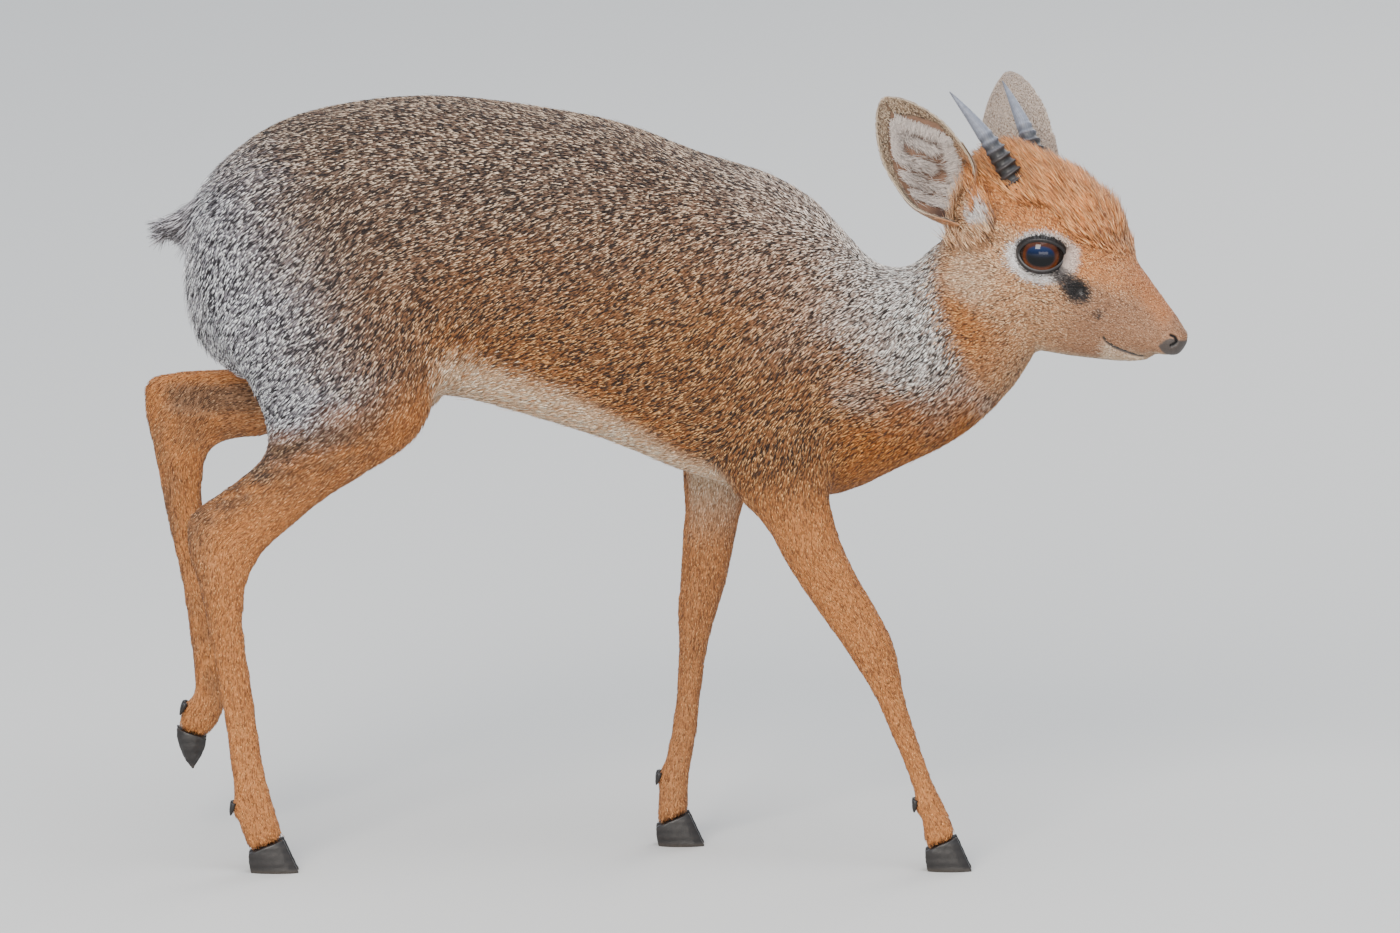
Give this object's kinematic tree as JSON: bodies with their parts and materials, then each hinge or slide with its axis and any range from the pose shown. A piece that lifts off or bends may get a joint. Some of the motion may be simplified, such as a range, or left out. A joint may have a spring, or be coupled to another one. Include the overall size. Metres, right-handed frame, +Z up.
{
  "type": "dik-dik",
  "caption": "Life-size still model of a dik-dik walking with one hind foot lifted and its head turned a little aside.",
  "frame": {"origin": "on the floor, under the middle of the whole model's box", "axes": "+X the way the body faces, +Z up, +Y the animal's left"},
  "size_m": [0.5626, 0.1418, 0.4251],
  "materials": {
    "coat": "short dense hair, grizzled brown",
    "grey_coat": "short dense hair, grizzled grey-brown",
    "rufous_coat": "short hair, orange-brown",
    "tan_coat": "very short flat hair, tan",
    "horn": "ringed dark horn",
    "hoof": "black horn, worn satin",
    "eye": "wet dark brown"
  },
  "bodies": {
    "root": {"cannon_fore_left": "tan_coat", "cannon_fore_right": "tan_coat", "cannon_hind_left": "tan_coat", "cannon_hind_right": "tan_coat", "ear_left": "rufous_coat", "ear_right": "rufous_coat", "eye_left": "eye", "eye_right": "eye", "foot_fore_left": "tan_coat", "foot_fore_right": "tan_coat", "foot_hind_left": "tan_coat", "foot_hind_right": "tan_coat", "forearm_left": "tan_coat", "forearm_right": "tan_coat", "head": "rufous_coat", "hoof_fore_left_inner": "hoof", "hoof_fore_left_outer": "hoof", "hoof_fore_right_inner": "hoof", "hoof_fore_right_outer": "hoof", "hoof_hind_left_inner": "hoof", "hoof_hind_left_outer": "hoof", "hoof_hind_right_inner": "hoof", "hoof_hind_right_outer": "hoof", "horn_left": "horn", "horn_right": "horn", "neck": "grey_coat", "shank_left": "tan_coat", "shank_right": "tan_coat", "shoulder_left": "coat", "shoulder_right": "coat", "tail": "grey_coat", "thigh_left": "coat", "thigh_right": "coat", "torso": "grey_coat"}
  },
  "joints": []
}
